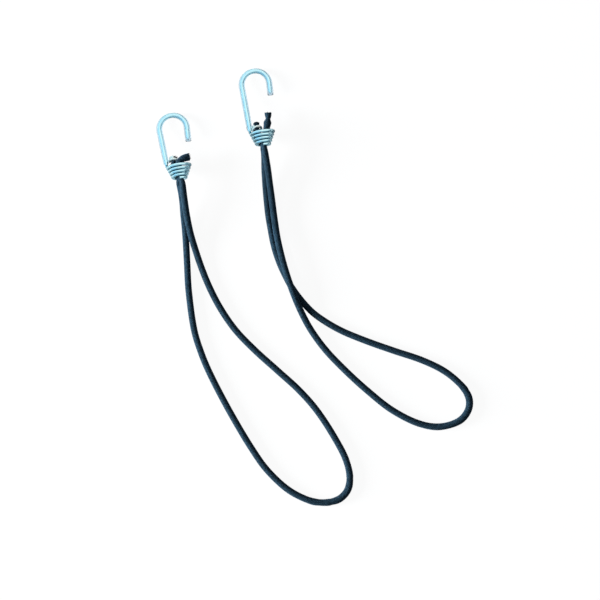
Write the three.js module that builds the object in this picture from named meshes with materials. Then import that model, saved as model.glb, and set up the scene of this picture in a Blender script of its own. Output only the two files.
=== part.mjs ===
import * as THREE from "three";

// A pair of bungee loops, A and B, that lie side by side on a table. Each is one elastic cord folded into
// a loop, with both ends through the cone of a wire hook. Millimetres, +Z up, the table at Z = 0 and the
// origin under the middle of the pair. A hook's own frame has +Y along its cone towards the wide end, +X
// across the hook and +Z out of the hook's plane, with its origin where the cone's first turn starts.

// Cord: a braided jacket round rubber strands
const cordDiameter = 6;
const jacketWall = 0.7;
const strandDiameter = 1.1;
const strandGap = 0.32;
const outerStrands = 6;
const jacketSides = 8;
const strandSides = 3;
const runStep = 18;
const bendStep = 12;
const bendDegrees = 9; // of turn that calls for the shorter step
const probeStep = 1; // between the places that a section may be put at
const endStep = 3;
const endReach = 36;
const mouthShare = 0.62; // of its thickness that the cord keeps in the cone's mouth
const mouthWidthShare = 0.8; // of its width, there
const mouthReach = 10;
const clenchShare = 0.74; // of its thickness that the cord keeps in the clench ring
const clenchReach = 8;

// Hook wire, wound as a cone and then bent as a hook
const wireDiameter = 2.6;
const wireSides = 6;
const wireStep = 2.6;
const coneTurns = 4.75;
const conePitch = 2.95;
const coneWideRadius = 11.7; // to the wire's middle line
const coneNarrowRadius = 5.9;
const hookBendRadius = 13.1;
const hookBendOffset = 0.95; // of the bend's centre from the cone's axis
const footOutset = 0.7; // of the shank's foot from the cone's first turn
const footBendRadius = 3.2;
const sameTurnReach = 9.6; // along the wire, within which it isn't measured against itself
const shankHeightA = 35.2;
const shankHeightB = 45.3;
const legLengthA = 11.8;
const legLengthB = 9.8;
const curveDivisions = 2000; // that a curve's length is measured in

// Clear vinyl sleeve over the hook
const sleeveDiameter = 5.7;
const sleeveWall = 1.1;
const sleeveOverhang = 2; // past the wire's tip
const sleeveFootHeight = 3; // above the cone's first turn
const sleeveSides = 8;
const sleeveSteps = 28;

// Clench ring on the short tail
const ringWireDiameter = 2.2;
const ringClearance = 0.7;
const ringSkewDegrees = 10; // that the ring leans forward on the tail
const ringOverlapDegrees = 100; // that the ring's two ends pass each other by
const ringEndGap = 0.2; // between those ends, side by side
const ringTurnDegreesA = 30; // of the overlap's middle from the ring's left side
const ringTurnDegreesB = 10;
const ringSides = 6;
const ringSteps = 26;

// Where the two hooks lie
const hookXA = -129.1;
const hookYA = 116.1;
const leanDegreesA = 7;
const hookXB = -50;
const hookYB = 148;
const leanDegreesB = 6.6;

// Routes of the two cords. The ends are in the hook's own frame, from the tail's tip to the cone's mouth,
// and the loop is in the frame of the pair, from the lower strand round to the upper one.
const shortEndA = [
  [-2.5, 7.4, -2.4],
  [-3.4, 4.7, -1.3],
  [-4.6, 0.6, -1],
  [-4.5, -3.4, -1.4],
  [-2.9, -7.4, -1.8],
  [-1.5, -11, -1.95],
  [-0.9, -13.8, -2],
  [-1.5, -17, -2.4],
];
const loopA = [
  [-126.9, 93, 12.6],
  [-125.2, 81.9, 10.6],
  [-124.2, 68.6, 7],
  [-123, 56.2, 4.4],
  [-122, 42, 3.1],
  [-120.9, 22, 3],
  [-119.5, -2.7, 3],
  [-114.2, -40.8, 3],
  [-108.5, -59.8, 3],
  [-100.8, -78.8, 3],
  [-81.2, -116.8, 3],
  [-58.6, -154.8, 3],
  [-44.8, -173.9, 3],
  [-24, -193, 3],
  [-4.3, -202.7, 3],
  [5.2, -204.4, 3],
  [14.7, -204, 3],
  [24.5, -200.5, 3],
  [31.6, -192.2, 3],
  [33.5, -180, 3],
  [30, -164.3, 3],
  [20.5, -145.3, 3],
  [2.1, -116.9, 3],
  [-14.6, -97.9, 3],
  [-35.4, -79, 3],
  [-56.6, -59.9, 3],
  [-74.9, -40.9, 3],
  [-88.3, -21.8, 3],
  [-98.5, -2.8, 3],
  [-106.5, 16.3, 3.2],
  [-113, 35.3, 5],
  [-117.6, 51, 8.8],
  [-121.1, 68.6, 13.6],
  [-123, 81.9, 17.1],
  [-124.4, 93, 19],
];
const longEndA = [
  [10.8, 5.2, 3.8],
  [7.9, 4.7, 4.7],
  [4.7, 3.7, 5.4],
  [1.7, 1.4, 5.6],
  [0.3, -1.6, 5],
  [0.2, -4.4, 4.2],
  [0.7, -8.4, 2.9],
  [0.6, -13.5, 1.95],
  [1.9, -17.6, 2.4],
];
const shortEndB = [
  [-4.5, 8.2, -4.2],
  [-4.3, 4.8, -2.4],
  [-4.1, 1.5, -0.7],
  [-3.9, -1.8, 0.2],
  [-1.9, -8, -2.2],
  [-0.5, -13.5, -2.1],
  [-0.8, -17, -2.4],
];
const loopB = [
  [-47.7, 126.2, 12.4],
  [-47.3, 111.3, 9.8],
  [-46.4, 96.1, 6.2],
  [-45.3, 82.8, 4],
  [-43.8, 68.6, 3.1],
  [-41.4, 54.3, 3],
  [-38.6, 40.1, 3],
  [-34.2, 25.8, 3],
  [-28.9, 13.5, 3],
  [-20, -2.7, 3],
  [-4, -22, 3],
  [8.5, -31.6, 3],
  [25.2, -41.2, 3],
  [48, -50.7, 3],
  [74.8, -60.2, 3],
  [102.4, -69.5, 3],
  [122.1, -79, 3],
  [134.6, -88.5, 3],
  [143.1, -97.9, 3],
  [147, -107.2, 3],
  [145.9, -116.7, 3],
  [138.3, -126.4, 3],
  [119.2, -132.5, 3],
  [100.2, -129.8, 3],
  [74.1, -117, 3],
  [50, -98.1, 3],
  [29.1, -79, 3],
  [10.8, -59.9, 3],
  [-3.2, -40.9, 4],
  [-13.4, -21.8, 7.2],
  [-21.2, -2.9, 9.6],
  [-27.4, 15.4, 9.7],
  [-31.7, 31, 9.2],
  [-35.3, 47, 8.4],
  [-37.9, 63.8, 8],
  [-40.4, 82.8, 9.2],
  [-42.6, 99, 12.6],
  [-44.2, 111.3, 16.4],
  [-46.6, 126.2, 18.8],
];
const longEndB = [
  [7.8, 16.1, 0.6],
  [7.4, 11.9, 0.7],
  [6.4, 7.5, 0.8],
  [5.1, 2.6, 1.2],
  [3.9, -2, 1.8],
  [1.9, -8, 2.6],
  [0.4, -13.5, 1.95],
  [0.8, -17, 2.4],
];

// Each cord's point in its short end that the clench ring closes on
const ringPointA = 1;
const ringPointB = 2;

const steel = { color: 0xc9e2e8, roughness: 0.28, metalness: 1 };
const whiteSteel = { color: 0xe9ece4, roughness: 0.35, metalness: 1 };
const vinyl = { color: 0xd8eef8, roughness: 0.15, metalness: 0, transparent: true, opacity: 0.45 };
const braid = { color: 0x10171d, roughness: 0.8, metalness: 0 };
const rubber = { color: 0x1c1c1f, roughness: 0.9, metalness: 0 };

function named(name, geometry, look) {
  const mesh = new THREE.Mesh(geometry, new THREE.MeshStandardMaterial(look));
  mesh.name = name;
  return mesh;
}

// A regular outline whose flat sides touch a circle from outside, with one flat side at the bottom.
function flatSidedOutline(diameter, sides, centre = new THREE.Vector2()) {
  const cornerRadius = diameter / 2 / Math.cos(Math.PI / sides);
  const corners = [];
  for (let side = 0; side < sides; side += 1) {
    const angle = ((side + 0.5) / sides) * 2 * Math.PI - Math.PI / 2;
    corners.push(
      new THREE.Vector2(Math.cos(angle), Math.sin(angle)).multiplyScalar(cornerRadius).add(centre),
    );
  }
  return corners;
}

// A regular outline whose corners lie on a circle.
function roundOutline(diameter, sides, centre = new THREE.Vector2()) {
  const shrink = Math.cos(Math.PI / sides);
  return flatSidedOutline(diameter * shrink, sides, centre);
}

function tube(route, steps, outline, boreOutline = null) {
  const section = new THREE.Shape(outline);
  if (boreOutline) section.holes.push(new THREE.Path(boreOutline));
  return new THREE.ExtrudeGeometry(section, { steps, extrudePath: route, bevelEnabled: false });
}

// One stretch of a curve, from one share of its length to another.
class PartOfCurve extends THREE.Curve {
  constructor(whole, startShare, endShare) {
    super();
    Object.assign(this, { whole, startShare, endShare });
  }

  getPoint(share, target = new THREE.Vector3()) {
    const along = THREE.MathUtils.lerp(this.startShare, this.endShare, share);
    return this.whole.getPointAt(along, target);
  }
}

// Hook wire: the cone's turns run from its wide end, at the shank, to its narrow end
function conePoint(turn) {
  const angle = Math.PI + turn * 2 * Math.PI;
  const radius = THREE.MathUtils.lerp(coneWideRadius, coneNarrowRadius, turn / coneTurns);
  return new THREE.Vector3(Math.cos(angle) * radius, -conePitch * turn, Math.sin(angle) * radius);
}

// The hook's middle line from the sleeve's open end at the tip, over the bend and down the shank.
function hookBendPoints(shankHeight, legLength) {
  const points = [];
  const legX = hookBendRadius - hookBendOffset;
  const legSteps = 4;
  for (let step = 0; step < legSteps; step += 1) {
    const y = shankHeight - (legLength + sleeveOverhang) * (1 - step / legSteps);
    points.push(new THREE.Vector3(legX, y, 0));
  }
  const bendSteps = 12;
  for (let step = 0; step <= bendSteps; step += 1) {
    const angle = (step / bendSteps) * Math.PI;
    const across = Math.cos(angle) * hookBendRadius - hookBendOffset;
    points.push(new THREE.Vector3(across, shankHeight + Math.sin(angle) * hookBendRadius, 0));
  }
  return points;
}

// The shank runs straight to its foot, and the foot bends back into the cone's first turn.
function shankAndConePoints(shankHeight) {
  const points = [];
  const shankTop = new THREE.Vector3(-hookBendRadius - hookBendOffset, shankHeight, 0);
  const foot = new THREE.Vector3(-coneWideRadius - footOutset, footBendRadius, 0);
  const shankSteps = 8;
  for (let step = 1; step <= shankSteps; step += 1) {
    points.push(new THREE.Vector3().lerpVectors(shankTop, foot, step / shankSteps));
  }
  const joinTurn = Math.asin(footBendRadius / coneWideRadius) / (2 * Math.PI);
  const join = conePoint(joinTurn);
  const footSteps = 3;
  for (let step = 1; step < footSteps; step += 1) {
    const angle = (step / footSteps) * (Math.PI / 2);
    const point = new THREE.Vector3().lerpVectors(foot, join, step / footSteps);
    point.y = join.y + (foot.y - join.y) * (1 - Math.sin(angle));
    point.z = join.z * (1 - Math.cos(angle));
    points.push(point);
  }
  const turnSteps = 24;
  const firstStep = Math.ceil(joinTurn * turnSteps);
  const lastStep = coneTurns * turnSteps;
  points.push(join);
  for (let step = firstStep + 1; step < lastStep; step += 1) points.push(conePoint(step / turnSteps));
  points.push(conePoint(coneTurns));
  return points;
}

// The least space between the wire's surfaces where it passes itself.
function leastGapToItself(curve, diameter, apart) {
  const steps = Math.ceil(curve.getLength() / (diameter / 2));
  const points = curve.getSpacedPoints(steps);
  const spacing = curve.getLength() / steps;
  let least = Infinity;
  for (let i = 0; i < points.length; i += 1) {
    for (let j = i + Math.ceil(apart / spacing); j < points.length; j += 1) {
      least = Math.min(least, points[i].distanceTo(points[j]));
    }
  }
  return least - diameter;
}

// The hook lies on its bend and on the back of its widest turn: the angle that its frame tips forward.
function restTilt(shankHeight) {
  const backTurn = 1 / 4; // from the shank's side to the side that faces the table
  const turnBack = conePoint(backTurn);
  const reach = shankHeight + hookBendRadius - turnBack.y;
  const span = Math.hypot(reach, turnBack.z);
  const drop = (wireDiameter - sleeveDiameter) / 2;
  return Math.atan2(reach, turnBack.z) - Math.acos(drop / span);
}

function hookFrame(bungee) {
  const frame = new THREE.Group();
  const tilt = restTilt(bungee.shankHeight);
  const height = (bungee.shankHeight + hookBendRadius) * Math.sin(tilt) + sleeveDiameter / 2;
  frame.position.set(bungee.x, bungee.y, height);
  frame.rotation.set(-tilt, 0, THREE.MathUtils.degToRad(bungee.leanDegrees), "ZYX");
  frame.updateMatrix();
  return frame;
}

function addHook(frame, bungee) {
  const hookLine = new THREE.CatmullRomCurve3(
    [
      ...hookBendPoints(bungee.shankHeight, bungee.legLength),
      ...shankAndConePoints(bungee.shankHeight),
    ],
    false,
    "centripetal",
  );
  hookLine.arcLengthDivisions = curveDivisions;
  const length = hookLine.getLength();
  const wireLine = new PartOfCurve(hookLine, sleeveOverhang / length, 1);
  const wireSteps = Math.round((length - sleeveOverhang) / wireStep);
  const wire = tube(wireLine, wireSteps, roundOutline(wireDiameter, wireSides));
  frame.add(named(`hook_wire_${bungee.letter}`, wire, steel));
  const gap = leastGapToItself(wireLine, wireDiameter, sameTurnReach);
  console.log(`hook wire ${bungee.letter}: least gap to itself ${gap.toFixed(2)} mm`);

  const shankLength = bungee.shankHeight - sleeveFootHeight;
  const sleeveLength =
    sleeveOverhang + bungee.legLength + Math.PI * hookBendRadius + shankLength;
  const sleeveLine = new PartOfCurve(hookLine, 0, sleeveLength / length);
  const bore = flatSidedOutline(sleeveDiameter - sleeveWall * 2, sleeveSides);
  const sleeve = tube(sleeveLine, sleeveSteps, roundOutline(sleeveDiameter, sleeveSides), bore);
  frame.add(named(`hook_sleeve_${bungee.letter}`, sleeve, vinyl));
}

// A cord's middle line with sections that stay level, so that its flat underside lies on the table. The
// sections are thinner in the cone's mouth and in the clench ring.
class CordRoute extends THREE.CatmullRomCurve3 {
  constructor(points, mouth, clench) {
    super(points, false, "centripetal");
    this.arcLengthDivisions = curveDivisions;
    Object.assign(this, { mouth, clench });
    const length = this.getLength();
    const endSteps = Math.round(endReach / endStep);
    const ends = [];
    for (let step = 0; step <= endSteps; step += 1) {
      ends.push(((step / endSteps) * endReach) / length);
    }
    const farEnds = ends.map((share) => 1 - share).reverse();
    this.shares = [...ends, ...this.loopShares(length), ...farEnds];
  }

  // Sections of the loop, closer where it bends.
  loopShares(length) {
    const shares = [];
    const bendLimit = THREE.MathUtils.degToRad(bendDegrees);
    let last = endReach;
    let heading = this.getTangentAt(last / length);
    for (let along = last; along < length - endReach - bendStep; along += probeStep) {
      const tangent = this.getTangentAt(along / length);
      const bends = tangent.angleTo(heading) > bendLimit;
      if (along - last >= (bends ? bendStep : runStep)) {
        shares.push(along / length);
        last = along;
        heading = tangent;
      }
    }
    return shares;
  }

  // The curve between two low points must not dip into the table.
  getPoint(share, target) {
    const point = super.getPoint(share, target);
    point.z = Math.max(point.z, cordDiameter / 2);
    return point;
  }

  getSpacedPoints() {
    return this.shares.map((share) => this.getPointAt(share));
  }

  computeFrenetFrames() {
    const up = new THREE.Vector3(0, 0, 1);
    const frames = { tangents: [], normals: [], binormals: [] };
    for (const share of this.shares) {
      const point = this.getPointAt(share);
      const tangent = this.getTangentAt(share);
      const side = new THREE.Vector3().crossVectors(up, tangent).normalize();
      const over = new THREE.Vector3().crossVectors(tangent, side);
      const clenched = thinning(point.distanceTo(this.clench), clenchReach, clenchShare);
      const toMouth = point.distanceTo(this.mouth);
      const squeezed = thinning(toMouth, mouthReach, mouthShare);
      const narrowed = thinning(toMouth, mouthReach, mouthWidthShare);
      frames.tangents.push(tangent);
      frames.normals.push(side.multiplyScalar(clenched * narrowed));
      frames.binormals.push(over.multiplyScalar(clenched * squeezed));
    }
    return frames;
  }
}

// The share of its thickness that the cord keeps at a distance from the middle of a squeezed stretch.
function thinning(distance, reach, keptShare) {
  if (distance >= reach) return 1;
  const grip = (1 + Math.cos((Math.PI * distance) / reach)) / 2;
  return 1 - (1 - keptShare) * grip;
}

function addCord(pair, frame, bungee) {
  const onHook = (place) => new THREE.Vector3(...place).applyMatrix4(frame.matrix);
  const points = [
    ...bungee.shortEnd.map(onHook),
    ...bungee.loop.map((place) => new THREE.Vector3(...place)),
    ...bungee.longEnd.map(onHook).reverse(),
  ];
  const mouth = onHook([0, -conePitch * coneTurns, 0]);
  const clench = onHook(bungee.shortEnd[bungee.ringPoint]);
  const route = new CordRoute(points, mouth, clench);
  const steps = route.shares.length - 1;
  console.log(`cord ${bungee.letter}: ${route.getLength().toFixed(0)} mm from tail to tail`);

  const jacket = tube(
    route,
    steps,
    flatSidedOutline(cordDiameter, jacketSides),
    flatSidedOutline(cordDiameter - jacketWall * 2, jacketSides),
  );
  pair.add(named(`jacket_${bungee.letter}`, jacket, braid));

  const strandPitch = strandDiameter + strandGap;
  for (let strand = 0; strand <= outerStrands; strand += 1) {
    const angle = (strand / outerStrands) * 2 * Math.PI;
    const centre = new THREE.Vector2(Math.cos(angle), Math.sin(angle)).multiplyScalar(strandPitch);
    if (strand === outerStrands) centre.set(0, 0);
    const core = tube(route, steps, roundOutline(strandDiameter, strandSides, centre));
    pair.add(named(`core_strand_${bungee.letter}_${strand + 1}`, core, rubber));
  }

  addClenchRing(pair, clench, bungee);
}

// The ring is a wire clenched round the tail until its two ends lie side by side.
function addClenchRing(pair, clench, bungee) {
  const radius = (cordDiameter * clenchShare + ringWireDiameter) / 2 + ringClearance;
  const overlap = THREE.MathUtils.degToRad(ringOverlapDegrees);
  const start = THREE.MathUtils.degToRad(bungee.ringTurnDegrees) - overlap / 2;
  const sweep = 2 * Math.PI + overlap;
  const travel = ((ringWireDiameter + ringEndGap) * sweep) / (2 * Math.PI);
  const points = [];
  for (let step = 0; step <= ringSteps; step += 1) {
    const share = step / ringSteps;
    const angle = start + share * sweep;
    const ahead = (share - 1 / 2) * travel;
    points.push(new THREE.Vector3(Math.cos(angle) * radius, Math.sin(angle) * radius, ahead));
  }
  const line = new THREE.CatmullRomCurve3(points, false, "centripetal");
  const ring = tube(line, ringSteps, roundOutline(ringWireDiameter, ringSides));
  const mesh = named(`clench_ring_${bungee.letter}`, ring, whiteSteel);

  const before = new THREE.Vector3(...bungee.shortEnd[bungee.ringPoint + 1]);
  const after = new THREE.Vector3(...bungee.shortEnd[bungee.ringPoint - 1]);
  const frame = bungee.frame;
  const along = after.sub(before).transformDirection(frame.matrix);
  const across = new THREE.Vector3(1, 0, 0).transformDirection(frame.matrix);
  const front = new THREE.Vector3().crossVectors(along, across).negate().normalize();
  across.crossVectors(front, along);
  const turned = new THREE.Matrix4().makeBasis(across, front, along);
  mesh.quaternion.setFromRotationMatrix(turned);
  mesh.rotateX(THREE.MathUtils.degToRad(ringSkewDegrees));
  mesh.position.copy(clench);
  pair.add(mesh);
}

const bungees = [
  {
    letter: "a",
    x: hookXA,
    y: hookYA,
    leanDegrees: leanDegreesA,
    shankHeight: shankHeightA,
    legLength: legLengthA,
    shortEnd: shortEndA,
    loop: loopA,
    longEnd: longEndA,
    ringPoint: ringPointA,
    ringTurnDegrees: ringTurnDegreesA,
  },
  {
    letter: "b",
    x: hookXB,
    y: hookYB,
    leanDegrees: leanDegreesB,
    shankHeight: shankHeightB,
    legLength: legLengthB,
    shortEnd: shortEndB,
    loop: loopB,
    longEnd: longEndB,
    ringPoint: ringPointB,
    ringTurnDegrees: ringTurnDegreesB,
  },
];

const pair = new THREE.Group();
for (const bungee of bungees) {
  bungee.frame = hookFrame(bungee);
  addHook(bungee.frame, bungee);
  pair.add(bungee.frame);
  addCord(pair, bungee.frame, bungee);
}

export default pair;
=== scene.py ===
import math

import bpy
import numpy as np
from mathutils import Matrix, Vector


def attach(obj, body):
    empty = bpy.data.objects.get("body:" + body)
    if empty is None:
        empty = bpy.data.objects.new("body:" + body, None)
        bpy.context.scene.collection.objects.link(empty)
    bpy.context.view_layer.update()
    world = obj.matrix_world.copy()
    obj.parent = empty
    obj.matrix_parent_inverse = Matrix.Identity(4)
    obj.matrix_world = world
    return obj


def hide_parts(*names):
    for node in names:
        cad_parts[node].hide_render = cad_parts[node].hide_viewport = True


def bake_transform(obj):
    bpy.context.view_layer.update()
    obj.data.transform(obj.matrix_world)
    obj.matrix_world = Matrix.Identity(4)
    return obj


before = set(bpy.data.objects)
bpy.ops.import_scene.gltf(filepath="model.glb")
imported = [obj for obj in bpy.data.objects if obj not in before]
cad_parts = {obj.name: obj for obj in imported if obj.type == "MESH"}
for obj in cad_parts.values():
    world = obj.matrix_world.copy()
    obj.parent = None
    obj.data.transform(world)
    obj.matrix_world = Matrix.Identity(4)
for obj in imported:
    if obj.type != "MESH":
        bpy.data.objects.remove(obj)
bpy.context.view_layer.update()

# A pair of bungee loops on a white table, in metres. Each hook has a frame of its own, with +Y along its
# cone towards the wide end, +X across the hook and +Z out of the hook's plane.

# The photograph looks straight down, with the top of the image at +Y
camera = {
    "height": 4.0,
    "centre": (-0.0138, -0.0122),
    "across": 0.570,  # of the table, over the image's width
    "sensor": 36,
    "farthest": 16.0,  # that it sees
}


def addCamera():
    lens = camera["sensor"] * camera["height"] / camera["across"]
    data = bpy.data.cameras.new("topCamera")
    data.sensor_width = camera["sensor"]
    data.lens = lens
    data.clip_end = camera["farthest"]
    seen = bpy.data.objects.new("topCamera", data)
    seen.location = (*camera["centre"], camera["height"])
    bpy.context.scene.collection.objects.link(seen)
    bpy.context.scene.camera = seen
    bpy.context.scene.view_settings.view_transform = "Standard"
    print(f"camera: {lens:.0f} mm lens, {camera['height']:.1f} m above the table")


addCamera()


# Lines and frames


def smoothLine(points):
    # a centripetal curve through the points, as the solids' own routes are
    perSpan = 16
    knots = np.array(points, float)
    knots = np.vstack([2 * knots[0] - knots[1], knots, 2 * knots[-1] - knots[-2]])
    spans = np.sqrt(np.linalg.norm(np.diff(knots, axis=0), axis=1))
    share = np.linspace(0, 1, perSpan, endpoint=False)[:, None]
    line = []
    for i in range(1, len(knots) - 2):
        before, here, after = spans[i - 1 : i + 2]
        last, start, end, following = knots[i - 1 : i + 3]
        leave = here * ((start - last) / before - (end - last) / (before + here)) + end - start
        arrive = here * ((following - end) / after - (following - start) / (here + after)) + end - start
        bend = 3 * (end - start) - 2 * leave - arrive
        twist = 2 * (start - end) + leave + arrive
        line.append(start + leave * share + bend * share**2 + twist * share**3)
    return np.vstack([*line, knots[-2:-1]])


def distancesAlong(line):
    steps = np.linalg.norm(np.diff(line, axis=0), axis=1)
    return np.concatenate([[0], np.cumsum(steps)])


def pointsAt(line, distances):
    reach = distancesAlong(line)
    return np.stack([np.interp(distances, reach, line[:, axis]) for axis in range(3)], 1)


def evenDistances(length, step):
    return np.linspace(0, length, int(round(length / step)) + 1)


def unit(vectors):
    return vectors / np.linalg.norm(vectors, axis=-1, keepdims=True)


def eased(share):
    # a share from 0 to 1 that starts and ends softly
    return share**2 * (3 - 2 * share)


def levelFrames(points):
    # side is level and over leans up, all along the line
    tangent = unit(np.gradient(points, axis=0))
    side = unit(np.cross((0, 0, 1), tangent))
    return side, np.cross(tangent, side)


def carriedFrames(points, firstOver):
    # over is carried along the line without twisting about it
    tangent = unit(np.gradient(points, axis=0))
    over = np.array(firstOver, float)
    overs = []
    for ahead in tangent:
        over = over - ahead * (over @ ahead)
        over = over / np.linalg.norm(over)
        overs.append(over)
    overs = np.array(overs)
    return np.cross(overs, tangent), overs


# Meshes


def addPiece(name, vertices, faces, skin=None):
    sharpDegrees = 50
    mesh = bpy.data.meshes.new(name)
    mesh.from_pydata(vertices, [], faces)
    mesh.shade_smooth()
    mesh.set_sharp_from_angle(angle=math.radians(sharpDegrees))
    if skin is not None:
        attribute = mesh.attributes.new("skin", "FLOAT_VECTOR", "POINT")
        attribute.data.foreach_set("vector", np.asarray(skin, np.float32).ravel())
    piece = bpy.data.objects.new(name, mesh)
    bpy.context.scene.collection.objects.link(piece)
    return piece


def addMap(piece, mapName, perCorner):
    layer = piece.data.uv_layers.new(name=mapName)
    layer.uv.foreach_set("vector", np.asarray(perCorner, np.float32).ravel())


def stripMap(piece, along, around, strips):
    # the tube's skin cut into strips of equal length, which lie side by side in one square map, for baking
    # the finish on
    margin = 0.015
    corners = np.empty(len(piece.data.loops), np.int32)
    piece.data.loops.foreach_get("vertex_index", corners)
    starts = np.empty(len(piece.data.polygons), np.int32)
    totals = np.empty(len(piece.data.polygons), np.int32)
    piece.data.polygons.foreach_get("loop_start", starts)
    piece.data.polygons.foreach_get("loop_total", totals)
    face = np.repeat(np.arange(len(starts)), totals)
    first = np.minimum.reduceat(along, starts)
    strip = np.minimum((first * strips).astype(int), strips - 1)[face]
    x = (along * strips - strip) * (1 - 2 * margin) + margin
    y = (strip + margin + around * (1 - 2 * margin)) / strips
    addMap(piece, "OFBake", np.stack([x, y], 1).clip(0, 1))


def ringTube(name, rings, reach, closed=False, strips=4):
    # a skin over rings of points, whose ends close on a middle point unless the last ring meets the first
    count, sides = rings.shape[:2]
    vertices = rings.reshape(-1, 3)
    angle = np.arange(sides) / sides * 2 * np.pi
    radius = np.linalg.norm(rings - rings.mean(1, keepdims=True), axis=2)
    skin = np.stack(
        [np.repeat(reach, sides), (radius * np.cos(angle)).ravel(), (radius * np.sin(angle)).ravel()], 1
    )
    faces = []
    cornersAlong = []
    cornersAround = []
    share = reach / reach.max()
    if closed:
        share = np.append(share, 1.0)
    for i in range(count if closed else count - 1):
        here = i * sides
        there = (i + 1) % count * sides
        for side in range(sides):
            beside = (side + 1) % sides
            faces.append((here + side, here + beside, there + beside, there + side))
            cornersAlong += [share[i], share[i], share[i + 1], share[i + 1]]
            cornersAround += [side / sides, (side + 1) / sides, (side + 1) / sides, side / sides]
    if not closed:
        vertices = np.vstack([vertices, rings[0].mean(0), rings[-1].mean(0)])
        skin = np.vstack([skin, [reach[0], 0, 0], [reach[-1], 0, 0]])
        last = (count - 1) * sides
        for side in range(sides):
            beside = (side + 1) % sides
            faces.append((side, count * sides, beside))
            faces.append((last + side, last + beside, count * sides + 1))
            cornersAlong += [0, 0, 0, 1, 1, 1]
            cornersAround += [side / sides, side / sides, (side + 1) / sides] * 2
    piece = addPiece(name, vertices, faces, skin)
    stripMap(piece, np.array(cornersAlong), np.array(cornersAround), strips)
    return piece


def ringsRound(points, side, over, sideRadius, overRadius, sides):
    angle = np.arange(sides) / sides * 2 * np.pi
    outward = side[:, None] * (sideRadius[:, None] * np.cos(angle))[..., None]
    outward = outward + over[:, None] * (overRadius[:, None] * np.sin(angle))[..., None]
    return points[:, None] + outward


def wireRings(points, side, over, radius, bevel, sides):
    # rings along a solid wire, drawn in over a small bevel at both ends
    reach = distancesAlong(points)
    nearEnd = np.minimum(reach, reach[-1] - reach)
    radii = radius - bevel * np.clip(1 - nearEnd / bevel, 0, 1) ** 2
    return ringsRound(points, side, over, radii, radii, sides), reach


def tubeFaces(base, count, sides):
    # walls between rings of points from one vertex on, with a flat face at both ends
    faces = []
    for i in range(count - 1):
        here = base + i * sides
        there = here + sides
        for j in range(sides):
            beside = (j + 1) % sides
            faces.append((here + j, here + beside, there + beside, there + j))
    faces.append(tuple(base + j for j in reversed(range(sides))))
    far = base + (count - 1) * sides
    faces.append(tuple(far + j for j in range(sides)))
    return faces


# Where the two hooks lie, and what differs between them
hooks = {
    "a": {
        "place": (-0.1291, 0.1161),  # of the middle of the cone's wide end
        "leanDegrees": 7.0,
        "shankHeight": 0.0352,  # from there to the middle of the bend
        "legLength": 0.0118,  # from the bend to the wire's tip
        "ringTurnDegrees": 30,  # of the overlap's middle from the ring's left side
    },
    "b": {
        "place": (-0.05, 0.148),
        "leanDegrees": 6.6,
        "shankHeight": 0.0453,
        "legLength": 0.0098,
        "ringTurnDegrees": 10,
    },
}

# Hook wire, bent as a hook and then wound as a cone
wire = {
    "diameter": 0.0028,
    "coneTurns": 4.75,
    "conePitch": 0.00295,
    "wideRadius": 0.0117,  # this one and the next two are to the wire's middle line
    "narrowRadius": 0.0059,
    "bendRadius": 0.0131,
    "bendOffset": 0.00095,  # of the bend's middle, towards the shank
    "footInset": 0.0004,  # of the shank's foot from the cone's first turn
    "footBend": 0.0032,
    "step": 0.0005,
    "sides": 28,
    "bevel": 0.0002,
}


def conePoint(turn):
    angle = math.pi + turn * 2 * math.pi
    radius = wire["wideRadius"] + (wire["narrowRadius"] - wire["wideRadius"]) * turn / wire["coneTurns"]
    return np.array([math.cos(angle) * radius, -wire["conePitch"] * turn, math.sin(angle) * radius])


def hookLine(letter):
    # from the sleeve's open end at the tip to the cone's narrow end
    shankHeight = hooks[letter]["shankHeight"]
    legLength = hooks[letter]["legLength"]
    legX = wire["bendRadius"] - wire["bendOffset"]
    legSteps = 4
    points = []
    for step in range(legSteps):
        y = shankHeight - (legLength + sleeve["overhang"]) * (1 - step / legSteps)
        points.append((legX, y, 0))
    bendSteps = 12
    for step in range(bendSteps + 1):
        angle = step / bendSteps * math.pi
        x = math.cos(angle) * wire["bendRadius"] - wire["bendOffset"]
        points.append((x, shankHeight + math.sin(angle) * wire["bendRadius"], 0))
    shankTop = np.array([-wire["bendRadius"] - wire["bendOffset"], shankHeight, 0])
    foot = np.array([wire["footInset"] - wire["wideRadius"], wire["footBend"], 0])
    shankSteps = 8
    for step in range(1, shankSteps + 1):
        points.append(shankTop + (foot - shankTop) * step / shankSteps)
    joinTurn = math.asin(wire["footBend"] / wire["wideRadius"]) / (2 * math.pi)
    join = conePoint(joinTurn)
    footSteps = 3
    for step in range(1, footSteps):
        angle = step / footSteps * math.pi / 2
        point = foot + (join - foot) * step / footSteps
        point[1] = join[1] + (foot[1] - join[1]) * (1 - math.sin(angle))
        point[2] = join[2] * (1 - math.cos(angle))
        points.append(point)
    points.append(join)
    turnSteps = 24
    lastStep = int(wire["coneTurns"] * turnSteps)
    for step in range(math.ceil(joinTurn * turnSteps) + 1, lastStep + 1):
        points.append(conePoint(step / turnSteps))
    return smoothLine(points)


def restTilt(letter):
    # the hook lies on its bend and on the back of its widest turn
    turnBack = conePoint(1 / 4)
    reach = hooks[letter]["shankHeight"] + wire["bendRadius"] - turnBack[1]
    span = math.hypot(reach, turnBack[2])
    drop = (wire["diameter"] - sleeve["diameter"]) / 2
    return math.atan2(reach, turnBack[2]) - math.acos(drop / span)


def hookMatrix(letter):
    hook = hooks[letter]
    tilt = restTilt(letter)
    height = (hook["shankHeight"] + wire["bendRadius"]) * math.sin(tilt) + sleeve["diameter"] / 2
    lean = Matrix.Rotation(math.radians(hook["leanDegrees"]), 4, "Z")
    return Matrix.Translation((*hook["place"], height)) @ lean @ Matrix.Rotation(-tilt, 4, "X")


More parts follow.
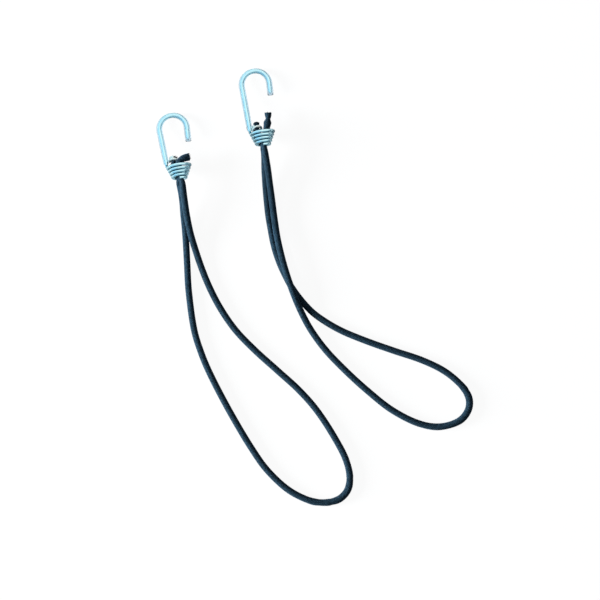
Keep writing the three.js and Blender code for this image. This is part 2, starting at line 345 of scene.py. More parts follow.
def onHook(letter, points):
    matrix = np.array(hookMatrix(letter))
    return np.array(points, float) @ matrix[:3, :3].T + matrix[:3, 3]


def addHookWire(letter):
    line = hookLine(letter)
    length = distancesAlong(line)[-1]
    distances = evenDistances(length - sleeve["overhang"], wire["step"]) + sleeve["overhang"]
    bevelSteps = np.array([0.25, 0.5, 0.75]) * wire["bevel"]
    distances = np.sort(np.concatenate([distances, distances[0] + bevelSteps, distances[-1] - bevelSteps]))
    points = pointsAt(line, distances)
    side, over = carriedFrames(points, (0, 0, 1))
    rings, reach = wireRings(points, side, over, wire["diameter"] / 2, wire["bevel"], wire["sides"])
    # how far each vertex faces the next turn, where the wire is wound: the finish paints shade there
    alongCone = np.abs((rings - points[:, None])[..., 1]) / (wire["diameter"] / 2)
    wound = np.clip((wire["footBend"] - points[:, 1]) / wire["footBend"], 0, 1)[:, None]
    piece = ringTube(f"round_wire_{letter}", onHook(letter, rings), reach)
    between = piece.data.attributes.new("between", "FLOAT", "POINT")
    between.data.foreach_set("value", np.append((alongCone * wound).ravel(), [0, 0]).astype(np.float32))
    piece.data.materials.append(hookSteel)
    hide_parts(f"hook_wire_{letter}")
    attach(piece, "hooks")


# Clear vinyl sleeve, whose open foot tapers towards the cone
sleeve = {
    "diameter": 0.0059,
    "wall": 0.0012,
    "overhang": 0.002,  # past the wire's tip
    "footHeight": 0.0014,  # above the cone's first turn
    "footTaper": 0.1,  # of its thickness
    "taperReach": 0.014,
    "bendShare": 0.8,  # of its thickness that it keeps over the bend
    "bendReach": 0.019,
    "rim": 0.0004,
    "hug": -0.00002,  # the bore clings to the wire
    "hugReach": 0.0012,  # from the open tip
    "waveShare": 0.006,  # of its thickness that comes and goes along it
    "waveRate": 210,
    "step": 0.0006,
    "sides": 44,
}


def addSleeve(letter):
    line = hookLine(letter)
    hook = hooks[letter]
    shank = hook["shankHeight"] - sleeve["footHeight"]
    bendMiddle = sleeve["overhang"] + hook["legLength"] + math.pi * wire["bendRadius"] / 2
    length = bendMiddle + math.pi * wire["bendRadius"] / 2 + shank
    distances = evenDistances(length, sleeve["step"])
    points = pointsAt(line, distances)
    side, over = carriedFrames(points, (0, 0, 1))
    inBend = np.clip(1 - np.abs(distances - bendMiddle) / sleeve["bendReach"], 0, 1)
    thin = 1 - (1 - sleeve["bendShare"]) * eased(inBend)
    outer = sleeve["diameter"] / 2
    pastTip = np.clip((distances - sleeve["overhang"]) / sleeve["hugReach"], 0, 1)
    bore = outer - sleeve["wall"] + (sleeve["hug"] + wire["diameter"] / 2 - outer + sleeve["wall"]) * pastTip
    atFoot = np.clip(1 - (length - distances) / sleeve["taperReach"], 0, 1)
    wave = sleeve["waveShare"] * np.sin(distances * sleeve["waveRate"])
    rim = sleeve["rim"]
    edge = np.clip(np.minimum(distances, length - distances) / rim, 0, 1)
    drawnIn = rim * (1 - np.sqrt(edge * (2 - edge)))
    outer = outer * (1 + wave - sleeve["footTaper"] * eased(atFoot)) - drawnIn
    outside = ringsRound(points, side, over, outer * thin, outer, sleeve["sides"])
    inside = ringsRound(points, side, over, bore, bore, sleeve["sides"])
    rings = np.concatenate([outside, inside[::-1]])
    reach = np.concatenate([distances, 2 * length - distances[::-1]])
    piece = ringTube(f"clear_sleeve_{letter}", onHook(letter, rings), reach, closed=True)
    piece.data.materials.append(clearVinyl)
    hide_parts(f"hook_sleeve_{letter}")
    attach(piece, "hooks")


# Ring clenched round the short tail, a little more than one turn of wire
ring = {
    "wire": 0.0024,
    "clearance": 0.0005,
    "skewDegrees": 10,  # out of square to the tail
    "overlapDegrees": 100,  # that its two ends pass each other by
    "endGap": 0.00005,
    "steps": 110,
    "sides": 24,
    "bevel": 0.0002,
}


def ringPlace(letter):
    # where the ring sits on the short tail, and the tail's direction there, in the hook's own frame
    route = routes[letter]
    shortEnd = [Vector(point) for point in route["shortEnd"]]
    at = route["ringPoint"]
    ahead = (shortEnd[at - 1] - shortEnd[at + 1]).normalized()
    return shortEnd[at] + ahead * route["ringLift"], ahead


def addClenchRing(letter):
    radius = (cord["diameter"] * cord["clenchShare"] + ring["wire"]) / 2 + ring["clearance"]
    overlap = math.radians(ring["overlapDegrees"])
    sweep = 2 * math.pi + overlap
    share = np.linspace(0, 1, ring["steps"])
    angle = math.radians(hooks[letter]["ringTurnDegrees"]) - overlap / 2 + share * sweep
    travel = (ring["wire"] + ring["endGap"]) * sweep / (2 * math.pi)
    points = np.stack([np.cos(angle) * radius, np.sin(angle) * radius, (share - 0.5) * travel], 1)
    side, over = carriedFrames(points, (0, 0, 1))
    rings, reach = wireRings(points, side, over, ring["wire"] / 2, ring["bevel"], ring["sides"])
    place, along = ringPlace(letter)
    turned = hookMatrix(letter).to_3x3()
    ahead = turned @ along
    across = turned @ Vector((1, 0, 0))
    front = across.cross(ahead).normalized()
    across = front.cross(ahead)
    basis = Matrix((across, front, ahead)).transposed().to_4x4()
    matrix = Matrix.Translation(hookMatrix(letter) @ place) @ basis
    matrix = np.array(matrix @ Matrix.Rotation(math.radians(ring["skewDegrees"]), 4, "X"))
    rings = rings @ matrix[:3, :3].T + matrix[:3, 3]
    piece = ringTube(f"crimped_ring_{letter}", rings, reach, strips=1)
    piece.data.materials.append(ringSteel)
    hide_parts(f"clench_ring_{letter}")
    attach(piece, "hooks")


# Braided jacket: two sets of yarns that cross in a lattice of diamonds
cord = {
    "diameter": 0.006,
    "wall": 0.0007,
    "yarnsEachWay": 12,
    "crossing": 0.002,  # along the cord, from one crossing to the next
    "crown": 0.00018,  # that a slack yarn stands proud by
    "groove": 0.00012,  # depth of the lines between two yarns
    "knot": 0.0002,  # depth of the corners between four yarns
    "slackFrom": 0.8,  # of its thickness, below which the yarns are taut
    "bendWidening": 0.10,  # in its tightest bends on the table
    "tightBend": 0.024,
    "easyBend": 0.06,
    "mouthShare": 0.62,  # of its thickness that the cord keeps in the cone's mouth
    "mouthWidthShare": 0.8,
    "mouthReach": 0.010,
    "clenchShare": 0.74,  # under the ring
    "clenchReach": 0.008,
}

# Routes of the cords. The ends are in the hook's frame, from the tail's tip to the cone's mouth, and the
# loop is on the table, from the lower strand round to the upper one.
routes = {
    "a": {
        "shortEnd": [
            (-0.0025, 0.0074, -0.0024),
            (-0.0034, 0.0047, -0.0013),
            (-0.0046, 0.0006, -0.001),
            (-0.0045, -0.0034, -0.0014),
            (-0.0029, -0.0074, -0.0018),
            (-0.0015, -0.011, -0.00195),
            (-0.0009, -0.0138, -0.002),
            (-0.0015, -0.017, -0.0024),
        ],
        "loop": [
            (-0.1269, 0.093, 0.0126),
            (-0.1252, 0.0819, 0.0106),
            (-0.1242, 0.0686, 0.007),
            (-0.123, 0.0562, 0.0044),
            (-0.122, 0.042, 0.0031),
            (-0.1209, 0.022, 0.003),
            (-0.1195, -0.0027, 0.003),
            (-0.1142, -0.0408, 0.003),
            (-0.1085, -0.0598, 0.003),
            (-0.1008, -0.0788, 0.003),
            (-0.0812, -0.1168, 0.003),
            (-0.0586, -0.1548, 0.003),
            (-0.0448, -0.1739, 0.003),
            (-0.024, -0.193, 0.003),
            (-0.0043, -0.2027, 0.003),
            (0.0052, -0.2044, 0.003),
            (0.0147, -0.204, 0.003),
            (0.0245, -0.2005, 0.003),
            (0.0316, -0.1922, 0.003),
            (0.0335, -0.18, 0.003),
            (0.03, -0.1643, 0.003),
            (0.0205, -0.1453, 0.003),
            (0.0021, -0.1169, 0.003),
            (-0.0146, -0.0979, 0.003),
            (-0.0354, -0.079, 0.003),
            (-0.0566, -0.0599, 0.003),
            (-0.0749, -0.0409, 0.003),
            (-0.0883, -0.0218, 0.003),
            (-0.0985, -0.0028, 0.003),
            (-0.1065, 0.0163, 0.0032),
            (-0.113, 0.0353, 0.005),
            (-0.1176, 0.051, 0.0088),
            (-0.1211, 0.0686, 0.0136),
            (-0.123, 0.0819, 0.0171),
            (-0.1244, 0.093, 0.019),
        ],
        "longEnd": [
            (0.0108, 0.0052, 0.0038),
            (0.0079, 0.0047, 0.0047),
            (0.0047, 0.0037, 0.0054),
            (0.0017, 0.0014, 0.0056),
            (0.0003, -0.0016, 0.005),
            (0.0002, -0.0044, 0.0042),
            (0.0007, -0.0084, 0.0029),
            (0.0006, -0.0135, 0.00195),
            (0.0019, -0.0176, 0.0024),
        ],
        "ringPoint": 1,
        "ringLift": 0.0,
        "length": 0.785,
        "tailShares": [(0, 1.18), (0.0035, 1.12), (0.008, 1.0)],  # from the long tail's tip
    },
    "b": {
        "shortEnd": [
            (-0.0045, 0.0082, -0.0042),
            (-0.0043, 0.0048, -0.0024),
            (-0.0041, 0.0015, -0.0007),
            (-0.0039, -0.0018, 0.0002),
            (-0.0019, -0.008, -0.0022),
            (-0.0005, -0.0135, -0.0021),
            (-0.0008, -0.017, -0.0024),
        ],
        "loop": [
            (-0.0477, 0.1262, 0.0124),
            (-0.0473, 0.1113, 0.0098),
            (-0.0464, 0.0961, 0.0062),
            (-0.0453, 0.0828, 0.004),
            (-0.0438, 0.0686, 0.0031),
            (-0.0414, 0.0543, 0.003),
            (-0.0386, 0.0401, 0.003),
            (-0.0342, 0.0258, 0.003),
            (-0.0289, 0.0135, 0.003),
            (-0.02, -0.0027, 0.003),
            (-0.004, -0.022, 0.003),
            (0.0085, -0.0316, 0.003),
            (0.0252, -0.0412, 0.003),
            (0.048, -0.0507, 0.003),
            (0.0748, -0.0602, 0.003),
            (0.1024, -0.0695, 0.003),
            (0.1221, -0.079, 0.003),
            (0.1346, -0.0885, 0.003),
            (0.1431, -0.0979, 0.003),
            (0.147, -0.1072, 0.003),
            (0.1459, -0.1167, 0.003),
            (0.1383, -0.1264, 0.003),
            (0.1192, -0.1325, 0.003),
            (0.1002, -0.1298, 0.003),
            (0.0741, -0.117, 0.003),
            (0.05, -0.0981, 0.003),
            (0.0291, -0.079, 0.003),
            (0.0108, -0.0599, 0.003),
            (-0.0032, -0.0409, 0.004),
            (-0.0134, -0.0218, 0.0072),
            (-0.0212, -0.0029, 0.0096),
            (-0.0274, 0.0154, 0.0097),
            (-0.0317, 0.031, 0.0092),
            (-0.0353, 0.047, 0.0084),
            (-0.0379, 0.0638, 0.008),
            (-0.0404, 0.0828, 0.0092),
            (-0.0426, 0.099, 0.0126),
            (-0.0442, 0.1113, 0.0164),
            (-0.0466, 0.1262, 0.0188),
        ],
        "longEnd": [
            (0.0078, 0.0161, 0.0006),
            (0.0074, 0.0119, 0.0007),
            (0.0064, 0.0075, 0.0008),
            (0.0051, 0.0026, 0.0012),
            (0.0039, -0.002, 0.0018),
            (0.0019, -0.008, 0.0026),
            (0.0004, -0.0135, 0.00195),
            (0.0008, -0.017, 0.0024),
        ],
        "ringPoint": 2,
        "ringLift": 0.0013,  # from that point towards the cut end
        "length": 0.785,
        "tailShares": [
            (0, 1.06),
            (0.0025, 0.98),
            (0.0056, 0.76),
            (0.009, 1.2),
            (0.0135, 1.02),
            (0.018, 1.0),
        ],
    },
}


def cordLine(letter):
    route = routes[letter]
    points = [*onHook(letter, route["shortEnd"]), *route["loop"], *onHook(letter, route["longEnd"])[::-1]]
    line = smoothLine(points)
    line[:, 2] = np.maximum(line[:, 2], cord["diameter"] / 2)  # never below the table
    return line


def thinning(distance, reach, keptShare):
    grip = (1 + np.cos(np.pi * np.clip(distance / reach, 0, 1))) / 2
    return 1 - (1 - keptShare) * grip


def mouthPlace(letter):
    # the middle of the cone's narrow end
    return onHook(letter, (0, -wire["conePitch"] * wire["coneTurns"], 0))


def cordSection(letter, points, distances, length):
    # the shares of its width and thickness that the cord has at each point
    route = routes[letter]
    clench = onHook(letter, ringPlace(letter)[0])
    clenched = thinning(np.linalg.norm(points - clench, axis=1), cord["clenchReach"], cord["clenchShare"])
    toMouth = np.linalg.norm(points - mouthPlace(letter), axis=1)
    squeezed = thinning(toMouth, cord["mouthReach"], cord["mouthShare"])
    narrowed = thinning(toMouth, cord["mouthReach"], cord["mouthWidthShare"])
    places, shares = zip(*route["tailShares"])
    tail = np.interp(length - distances, places, shares)
    tangent = unit(np.gradient(points, axis=0))
    turning = np.linalg.norm(np.gradient(tangent, axis=0), axis=1) / np.gradient(distances)
    easy, tight = 1 / cord["easyBend"], 1 / cord["tightBend"]
    inLoop = points[:, 1] < 0  # the tails lie past the middle of the pair
    widened = 1 + cord["bendWidening"] * np.clip((turning - easy) / (tight - easy), 0, 1) * inLoop
    return clenched * narrowed * tail * widened, clenched * squeezed * tail


def addJacket(letter):
    line = cordLine(letter)
    length = distancesAlong(line)[-1]
    perCell = 3  # steps of the lattice in each diamond
    rows = int(round(length / cord["crossing"] * perCell)) * 2
    around = cord["yarnsEachWay"] * perCell * 2
    inRow = around // 2
    distances = np.linspace(0, length, rows + 1)
    points = pointsAt(line, distances)
    side, over = levelFrames(points)
    wide, thick = cordSection(letter, points, distances, length)

    row, place = np.meshgrid(np.arange(rows + 1), np.arange(inRow), indexing="ij")
    column = row % 2 + 2 * place
    first = (column + row) // 2
    second = (column - row) // 2
    onEdge = (first % perCell == 0).astype(int) + (second % perCell == 0)
    depth = np.choose(onEdge, [0, cord["groove"], cord["knot"]])
    slack = np.clip((thick - cord["slackFrom"]) / (1 - cord["slackFrom"]), 0, 1)[:, None]
    radius = cord["diameter"] / 2 + cord["crown"] * slack - depth
    angle = column / around * 2 * np.pi
    outward = side[:, None] * (np.cos(angle) * radius * wide[:, None])[..., None]
    outward = outward + over[:, None] * (np.sin(angle) * radius * thick[:, None])[..., None]
    outside = (points[:, None] + outward).reshape(-1, 3)
    outside[:, 2] = np.maximum(outside[:, 2], 0)  # flat where it lies on the table

    def vertex(rowAt, columnAt):
        return rowAt * inRow + (columnAt - rowAt % 2) // 2 % inRow

    faces = []
    corners = []  # each face corner's row and column, for the maps

    def addFace(*places):
        faces.append(tuple(vertex(*place) for place in places))
        corners.extend(places)

    for i in range(rows - 1):
        for j in range(i % 2, around, 2):
            addFace((i, j), (i + 1, j + 1), (i + 2, j), (i + 1, j - 1))
    for j in range(0, around, 2):
        addFace((0, j), (0, j + 2), (1, j + 1))
        addFace((rows, j), (rows - 1, j + 1), (rows, j + 2))

    # the plain bore, and the two cut ends that join it to the lattice
    bore = cord["diameter"] / 2 - cord["wall"]
    boreDistances = evenDistances(length, cord["diameter"] / 2)
    borePoints = pointsAt(line, boreDistances)
    boreSide, boreOver = levelFrames(borePoints)
    boreWide, boreThick = cordSection(letter, borePoints, boreDistances, length)
    inside = ringsRound(borePoints, boreSide, boreOver, bore * boreWide, bore * boreThick, inRow)
    base = len(outside)
    last = len(boreDistances) - 1
    rowOfBore = np.round(boreDistances / length * rows).astype(int)
    for i in range(last):
        here = base + i * inRow
        there = here + inRow
        for j in range(inRow):
            beside = (j + 1) % inRow
            faces.append((here + j, there + j, there + beside, here + beside))
            corners += [(rowOfBore[i], 2 * j), (rowOfBore[i + 1], 2 * j)]
            corners += [(rowOfBore[i + 1], 2 * j + 2), (rowOfBore[i], 2 * j + 2)]
    far = rows * inRow
    farBore = base + last * inRow
    for j in range(inRow):
        beside = (j + 1) % inRow
        faces.append((j, base + j, base + beside, beside))
        corners += [(0, 2 * j), (0, 2 * j), (0, 2 * j + 2), (0, 2 * j + 2)]
        faces.append((far + j, far + beside, farBore + beside, farBore + j))
        corners += [(rows, 2 * j), (rows, 2 * j + 2), (rows, 2 * j + 2), (rows, 2 * j)]

    piece = addPiece(f"braided_jacket_{letter}", np.vstack([outside, inside.reshape(-1, 3)]), faces)
    corners = np.array(corners, float)
    lattice = np.stack([corners[:, 1] + corners[:, 0], corners[:, 1] - corners[:, 0]], 1) / (2 * perCell)
    addMap(piece, "lattice", lattice)
    stripMap(piece, corners[:, 0] / rows, (corners[:, 1] + 1) / (around + 2), strips=7)
    piece.data.materials.append(braid)
    return piece, line, length


# Rubber strands that fill the jacket, one in the middle and the rest round it
strand = {
    "diameter": 0.0012,
    "pitch": 0.00142,  # from the middle strand to the ones round it
    "outer": 6,
    "sides": 8,
    "step": 0.0025,
}


def addStrands(letter, line, length):
    distances = evenDistances(length, strand["step"])
    points = pointsAt(line, distances)
    side, over = levelFrames(points)
    wide, thick = cordSection(letter, points, distances, length)
    radius = strand["diameter"] / 2
    vertices = []
    faces = []
    for number in range(strand["outer"] + 1):
        angle = number / strand["outer"] * 2 * math.pi
        pitch = strand["pitch"] if number < strand["outer"] else 0
        middle = points + side * (math.cos(angle) * pitch * wide)[:, None]
        middle = middle + over * (math.sin(angle) * pitch * thick)[:, None]
        rings = ringsRound(middle, side, over, radius * wide, radius * thick, strand["sides"])
        faces += tubeFaces(len(vertices), len(points), strand["sides"])
        vertices += list(rings.reshape(-1, 3))
    piece = addPiece(f"rubber_core_{letter}", vertices, faces)
    piece.data.materials.append(coreRubber)
    return piece


# Cut yarns of the jacket, frayed round both tips of the cord
yarns = {
    "perTip": 20,
    "radius": 0.00024,
    "taperShares": (1, 1, 1, 0.9, 0.45),  # of the radius, from the root to the end
    "length": (0.0003, 0.0014),  # past the jacket's edge
    "rootDepth": 0.0008,  # behind that edge
    "spread": 0.3,  # of the way to the next yarn
    "splayOut": 0.5,
    "splaySideways": 0.5,
    "sides": 6,
}


def addYarnEnds(letter, line, length):
    chance = np.random.default_rng(ord(letter))
    spread, sideways = yarns["spread"], yarns["splaySideways"]
    nearTip = 0.0005
    distances = np.array([0, nearTip, length - nearTip, length])
    _, thick = cordSection(letter, pointsAt(line, distances), distances, length)
    back = 6  # points from the tip that give its direction
    taper = np.array(yarns["taperShares"])
    steps = np.linspace(0, 1, len(taper))[:, None]
    vertices = []
    faces = []
    for tip, behind, share in ((line[0], line[back], thick[0]), (line[-1], line[-1 - back], thick[-1])):
        ahead = unit(tip - behind)
        side = unit(np.cross((0, 0, 1), ahead))
        over = np.cross(ahead, side)
        for number in range(yarns["perTip"]):
            angle = (number + chance.uniform(-spread, spread)) / yarns["perTip"] * 2 * np.pi
            out = side * np.cos(angle) + over * np.sin(angle)
            root = tip + out * (cord["diameter"] - cord["wall"]) / 2 * share - ahead * yarns["rootDepth"]
            reach = yarns["rootDepth"] + chance.uniform(*yarns["length"])
            leaning = out * chance.uniform(-1, 1) * yarns["splayOut"]
            leaning = leaning + np.cross(ahead, out) * chance.uniform(-sideways, sideways)
            points = root + ahead * reach * steps + leaning * reach * steps**2
            yarnSide, yarnOver = carriedFrames(points, out)
            radii = yarns["radius"] * taper
            rings = ringsRound(points, yarnSide, yarnOver, radii, radii, yarns["sides"])
            faces += tubeFaces(len(vertices), len(points), yarns["sides"])
            vertices += list(rings.reshape(-1, 3))
    piece = addPiece(f"yarn_ends_{letter}", vertices, faces)
    piece.data.materials.append(yarnFibre)
    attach(piece, "hooks")
    return piece


def addCord(letter):
    jacket, line, length = addJacket(letter)
    strands = addStrands(letter, line, length)
    fringe = addYarnEnds(letter, line, length)
    names = [f"core_strand_{letter}_{number + 1}" for number in range(strand["outer"] + 1)]
    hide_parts(f"jacket_{letter}")
    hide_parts(*names)
    for piece in (jacket, strands):
        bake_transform(piece)
    print(f"cord {letter}: {length * 1000:.0f} mm")


# Finishes


def newMaterial(name):
    material = bpy.data.materials.new(name)
    material.use_nodes = True
    tree = material.node_tree
    return material, tree, tree.nodes["Principled BSDF"]


def addNode(tree, kind, inputs=None, **settings):
    node = tree.nodes.new(kind)
    for key, value in settings.items():
        setattr(node, key, value)
    for key, value in (inputs or {}).items():
        if isinstance(value, bpy.types.NodeSocket):
            tree.links.new(value, node.inputs[key])
        else:
            node.inputs[key].default_value = value
    return node


def calculate(tree, operation, first, second=None):
    inputs = {0: first}
    if second is not None:
        inputs[1] = second
    return addNode(tree, "ShaderNodeMath", inputs, operation=operation).outputs[0]


def mixColours(tree, share, first, second):
    node = addNode(tree, "ShaderNodeMix", {0: share, 6: first, 7: second}, data_type="RGBA")
    return node.outputs[2]


def spreadValue(tree, value, low, high, toLow=0.0, toHigh=1.0):
    inputs = {0: value, 1: low, 2: high, 3: toLow, 4: toHigh}
    return addNode(tree, "ShaderNodeMapRange", inputs).outputs[0]


def stretchedNoise(tree, scales):
    # noise in the skin's own coordinates: along the piece, then two across it
    skin = addNode(tree, "ShaderNodeAttribute", attribute_name="skin").outputs["Vector"]
    placed = addNode(tree, "ShaderNodeVectorMath", {0: skin, 1: scales}, operation="MULTIPLY").outputs[0]
    noise = addNode(tree, "ShaderNodeTexNoise", {"Vector": placed, "Scale": 1.0, "Detail": 3.0})
    return noise.outputs[0]


def bump(tree, shader, height, distance, strength=0.5):
    node = addNode(tree, "ShaderNodeBump", {"Height": height, "Distance": distance, "Strength": strength})
    tree.links.new(node.outputs[0], shader.inputs["Normal"])


drawnWire = {
    "blotches": (60, 900, 900),
    "lines": (40, 5200, 5200),
    "lineDepth": 0.000006,
    "colourFrom": (0.38, 0.62),
    "roughFrom": (0.35, 0.65),
}

steelLook = {
    "bright": (0.67, 0.96, 0.97, 1),
    "dull": (0.48, 0.82, 0.94, 1),
    "roughness": (0.12, 0.22),
    "metallic": 1.0,
    "paintedShade": (0.16, 0.36, 0.45, 1),  # painted shade between the cone's turns
    "paintedShadeFrom": (0.55, 1.0),
}

ringLook = {
    "bright": (0.86, 0.93, 0.88, 1),
    "dull": (0.70, 0.79, 0.77, 1),
    "roughness": (0.34, 0.46),
    "metallic": 0.85,
}


def makeSteel(name, look):
    material, tree, shader = newMaterial(name)
    blotches = stretchedNoise(tree, drawnWire["blotches"])
    lines = stretchedNoise(tree, drawnWire["lines"])
    both = calculate(tree, "MULTIPLY", calculate(tree, "ADD", lines, blotches), 0.5)
    share = spreadValue(tree, both, *drawnWire["colourFrom"])
    colour = mixColours(tree, share, look["dull"], look["bright"])
    # the wire's sides that face the next turn are darkened, as painted shade between the turns
    if "paintedShade" in look:
        between = addNode(tree, "ShaderNodeAttribute", attribute_name="between").outputs["Fac"]
        colour = mixColours(tree, spreadValue(tree, between, *look["paintedShadeFrom"]), colour, look["paintedShade"])
    tree.links.new(colour, shader.inputs["Base Color"])
    smooth, dull = look["roughness"]
    rough = spreadValue(tree, both, *drawnWire["roughFrom"], dull, smooth)
    tree.links.new(rough, shader.inputs["Roughness"])
    shader.inputs["Metallic"].default_value = look["metallic"]
    bump(tree, shader, lines, drawnWire["lineDepth"])
    return material


vinylLook = {
    "clear": (0.93, 0.97, 0.99, 1),
    "hazy": (0.87, 0.94, 0.98, 1),
    "haze": (25, 300, 300),
    "tintFrom": (0.35, 0.65),
    "roughFrom": (0.3, 0.7),
    "roughness": (0.05, 0.14),
    "refraction": 1.5,
    "lampLight": (0.86, 0.93, 0.96, 1),  # that it lets through
}


def makeVinyl():
    material, tree, shader = newMaterial("clearVinyl")
    haze = stretchedNoise(tree, vinylLook["haze"])
    share = spreadValue(tree, haze, *vinylLook["tintFrom"])
    tint = mixColours(tree, share, vinylLook["hazy"], vinylLook["clear"])
    tree.links.new(tint, shader.inputs["Base Color"])
    rough = spreadValue(tree, haze, *vinylLook["roughFrom"], *vinylLook["roughness"])
    tree.links.new(rough, shader.inputs["Roughness"])
    shader.inputs["Transmission Weight"].default_value = 1.0
    shader.inputs["IOR"].default_value = vinylLook["refraction"]
    output = tree.nodes["Material Output"]
    lampRay = addNode(tree, "ShaderNodeLightPath").outputs["Is Shadow Ray"]
    clear = addNode(tree, "ShaderNodeBsdfTransparent", {"Color": vinylLook["lampLight"]}).outputs[0]
    mixed = addNode(tree, "ShaderNodeMixShader", {0: lampRay, 1: shader.outputs[0], 2: clear}).outputs[0]
    tree.links.new(mixed, output.inputs["Surface"])
    return material


braidLook = {
    # groove is painted shade in the lines and corners between the yarns; crown is the yarns' own colour
    "groove": (0.003, 0.007, 0.010, 1),
    "crown": (0.032, 0.072, 0.112, 1),
    "crownFrom": (0.02, 0.6),
    "uneven": (0.45, 1.2),  # from the dullest crossing to the brightest
    "threads": 4,  # in each yarn
    "threadDepth": 0.000006,
    "threadStrength": 0.6,
    "roughness": 0.55,
    "specular": 0.06,
    "sheen": 0.3,
    "sheenRoughness": 0.4,
    "glintTint": (0.5, 0.78, 1, 1),
    "sheenTint": (0.45, 0.72, 1, 1),
}


def makeBraid():
    # yarns that cross over and under, from the map of the lattice
    material, tree, shader = newMaterial("braid")
    lattice = addNode(tree, "ShaderNodeUVMap", uv_map="lattice").outputs[0]
    parts = addNode(tree, "ShaderNodeSeparateXYZ", {0: lattice})
    first, second = parts.outputs[0], parts.outputs[1]
    firstCell = calculate(tree, "FLOOR", first)
    secondCell = calculate(tree, "FLOOR", second)
    firstPart = calculate(tree, "SUBTRACT", first, firstCell)
    secondPart = calculate(tree, "SUBTRACT", second, secondCell)
    cells = calculate(tree, "ADD", firstCell, secondCell)
    onTop = calculate(tree, "FLOORED_MODULO", cells, 2.0)
    across = addNode(tree, "ShaderNodeMix", {0: onTop, 2: firstPart, 3: secondPart}).outputs[0]
    turns = math.pi * 2 * braidLook["threads"]
    threads = calculate(tree, "SINE", calculate(tree, "MULTIPLY", across, turns))
    crownOne = calculate(tree, "SINE", calculate(tree, "MULTIPLY", firstPart, math.pi))
    crownTwo = calculate(tree, "SINE", calculate(tree, "MULTIPLY", secondPart, math.pi))
    crown = calculate(tree, "MULTIPLY", crownOne, crownTwo)
    cell = addNode(tree, "ShaderNodeCombineXYZ", {0: firstCell, 1: secondCell}).outputs[0]
    chance = addNode(tree, "ShaderNodeTexWhiteNoise", {"Vector": cell}, noise_dimensions="2D").outputs[0]
    # darker towards the edges of each yarn: painted shade in the grooves between the yarns
    lit = spreadValue(tree, crown, *braidLook["crownFrom"])
    share = calculate(tree, "MULTIPLY", lit, spreadValue(tree, chance, 0, 1, *braidLook["uneven"]))
    colour = mixColours(tree, share, braidLook["groove"], braidLook["crown"])
    tree.links.new(colour, shader.inputs["Base Color"])
    shader.inputs["Roughness"].default_value = braidLook["roughness"]
    shader.inputs["Specular IOR Level"].default_value = braidLook["specular"]
    shader.inputs["Specular Tint"].default_value = braidLook["glintTint"]
    shader.inputs["Sheen Weight"].default_value = braidLook["sheen"]
    shader.inputs["Sheen Roughness"].default_value = braidLook["sheenRoughness"]
    shader.inputs["Sheen Tint"].default_value = braidLook["sheenTint"]
    bump(tree, shader, threads, braidLook["threadDepth"], braidLook["threadStrength"])
    return material


rubberLook = {
    "grain": 1800.0,
    "grainDepth": 0.00004,
    "roughness": 0.8,
    "dark": (0.012, 0.013, 0.016, 1),
    "light": (0.035, 0.034, 0.036, 1),
}

fibreLook = {
    "grain": 900.0,
    "grainDepth": 0.00004,
    "roughness": 0.8,
    "dark": (0.006, 0.009, 0.013, 1),
    "light": (0.05, 0.06, 0.07, 1),
}


def makeMatt(name, look):
    material, tree, shader = newMaterial(name)
    where = addNode(tree, "ShaderNodeTexCoord").outputs["Object"]
    noise = addNode(tree, "ShaderNodeTexNoise", {"Vector": where, "Scale": look["grain"]}).outputs[0]
    tree.links.new(mixColours(tree, noise, look["dark"], look["light"]), shader.inputs["Base Color"])
    shader.inputs["Roughness"].default_value = look["roughness"]
    bump(tree, shader, noise, look["grainDepth"])
    return material


hookSteel = makeSteel("hookSteel", steelLook)
ringSteel = makeSteel("ringSteel", ringLook)
clearVinyl = makeVinyl()
braid = makeBraid()
coreRubber = makeMatt("coreRubber", rubberLook)
yarnFibre = makeMatt("yarnFibre", fibreLook)
print("finishes made")

for letter in hooks:
    addCord(letter)
for letter in hooks:
    addHookWire(letter)
    addSleeve(letter)
    addClenchRing(letter)
print("hooks dressed")

# White table, a light tent that only metal and vinyl see, and one large low softbox on the left
studio = {
    "floorSize": 30.0,  # from its middle to each side
    "floorSeen": (0.1, 0.94),  # its colour and its own light, to the camera
    "floorMirrored": 0.95,  # its colour in metal and vinyl
    "floorBounce": 0.3,  # and to all other light
    "throughVinyl": (0.62, 0.76, 0.86, 1),  # the light of the floor that shows through the sleeves
    "ambient": (0.10, 0.115, 0.13, 1),
    "tentLight": (1.17, 1.13, 1.1, 1),
    "tentWest": (0.62, 0.93, 1.14, 1),  # its tint towards the softbox
    "westFrom": (-0.85, 0),
    "tentEast": (0.14, 0.22, 0.27, 1),  # its shade away from the softbox
    "eastFrom": (0.8, 0.94),
    "tentSouth": (0.46, 0.58, 0.66, 1),  # its colour on the side of the loops
    "southFrom": (-0.45, 0.05),
    "lensAt": (-0.2, -0.1, 0.97),  # a dark round lens above, in the metal
    "lensReach": (0.972, 0.993),
    "lensShade": 0.45,
    "keyFrom": (-0.97, -0.06, 0.22),
    "keyDistance": 3.0,
    "keySize": 1.4,
    "keyPower": 290,
    "keyColour": (0.95, 0.98, 1.0),
}


def raysSeen(tree):
    # rays that should see a white background: the camera's own, also through the vinyl
    rays = addNode(tree, "ShaderNodeLightPath")
    bounced = calculate(tree, "MINIMUM", rays.outputs["Glossy Depth"], 1.0)
    notMirrored = calculate(tree, "SUBTRACT", 1.0, bounced)
    through = calculate(tree, "MULTIPLY", rays.outputs["Is Transmission Ray"], notMirrored)
    return calculate(tree, "MAXIMUM", rays.outputs["Is Camera Ray"], through)


def raysMirrored(tree):
    # rays that metal and vinyl send on
    rays = addNode(tree, "ShaderNodeLightPath")
    return calculate(tree, "MAXIMUM", rays.outputs["Is Glossy Ray"], rays.outputs["Is Transmission Ray"])


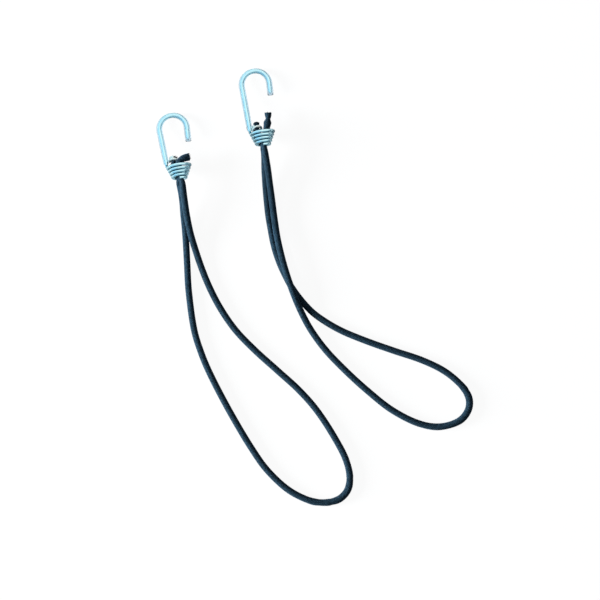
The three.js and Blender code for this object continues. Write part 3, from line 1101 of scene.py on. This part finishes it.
def addFloor():
    size = studio["floorSize"]
    mesh = bpy.data.meshes.new("table")
    corners = [(-size, -size, 0), (size, -size, 0), (size, size, 0), (-size, size, 0)]
    mesh.from_pydata(corners, [], [(0, 1, 2, 3)])
    table = bpy.data.objects.new("table", mesh)
    bpy.context.scene.collection.objects.link(table)
    material, tree, shader = newMaterial("whiteTable")
    seen = raysSeen(tree)
    colour, ownLight = studio["floorSeen"]
    hidden = spreadValue(tree, raysMirrored(tree), 0, 1, studio["floorBounce"], studio["floorMirrored"])
    hidden = calculate(tree, "MULTIPLY", hidden, calculate(tree, "SUBTRACT", 1.0, seen))
    value = calculate(tree, "ADD", hidden, calculate(tree, "MULTIPLY", seen, colour))
    tree.links.new(value, shader.inputs["Base Color"])
    shader.inputs["Roughness"].default_value = 1.0
    shader.inputs["Specular IOR Level"].default_value = 0.0
    toCamera = addNode(tree, "ShaderNodeLightPath").outputs["Is Camera Ray"]
    light = mixColours(tree, toCamera, studio["throughVinyl"], (1, 1, 1, 1))
    tree.links.new(light, shader.inputs["Emission Color"])
    tree.links.new(calculate(tree, "MULTIPLY", seen, ownLight), shader.inputs["Emission Strength"])
    mesh.materials.append(material)


def addSoftbox():
    data = bpy.data.lights.new("softbox", "AREA")
    data.size = studio["keySize"]
    data.energy = studio["keyPower"]
    data.color = studio["keyColour"]
    softbox = bpy.data.objects.new("softbox", data)
    away = Vector(studio["keyFrom"]).normalized()
    softbox.location = away * studio["keyDistance"]
    softbox.rotation_euler = away.to_track_quat("Z", "Y").to_euler()
    softbox.visible_camera = False
    softbox.visible_glossy = False
    softbox.visible_transmission = False
    bpy.context.scene.collection.objects.link(softbox)


def addWorld():
    # white to the camera, the tent to metal and vinyl, and a dim sky to all other light
    world = bpy.data.worlds.new("studio")
    world.use_nodes = True
    bpy.context.scene.world = world
    tree = world.node_tree
    white = (1, 1, 1, 1)
    direction = addNode(tree, "ShaderNodeTexCoord").outputs["Generated"]
    parts = addNode(tree, "ShaderNodeSeparateXYZ", {0: direction})
    eastward, northward = parts.outputs[0], parts.outputs[1]
    north = spreadValue(tree, northward, *studio["southFrom"])
    tent = mixColours(tree, north, studio["tentSouth"], studio["tentLight"])
    west = mixColours(tree, spreadValue(tree, eastward, *studio["westFrom"]), studio["tentWest"], white)
    tent = addNode(tree, "ShaderNodeVectorMath", {0: tent, 1: west}, operation="MULTIPLY").outputs[0]
    east = mixColours(tree, spreadValue(tree, eastward, *studio["eastFrom"]), white, studio["tentEast"])
    tent = addNode(tree, "ShaderNodeVectorMath", {0: tent, 1: east}, operation="MULTIPLY").outputs[0]
    toLens = Vector(studio["lensAt"]).normalized()
    facing = addNode(tree, "ShaderNodeVectorMath", {0: direction, 1: toLens}, operation="DOT_PRODUCT")
    inLens = spreadValue(tree, facing.outputs["Value"], *studio["lensReach"], 1.0, studio["lensShade"])
    tent = addNode(tree, "ShaderNodeVectorMath", {0: tent, "Scale": inLens}, operation="SCALE").outputs[0]
    colour = mixColours(tree, raysMirrored(tree), studio["ambient"], tent)
    colour = mixColours(tree, raysSeen(tree), colour, white)
    tree.links.new(colour, tree.nodes["Background"].inputs["Color"])


addFloor()
addWorld()
addSoftbox()
print("studio lit")
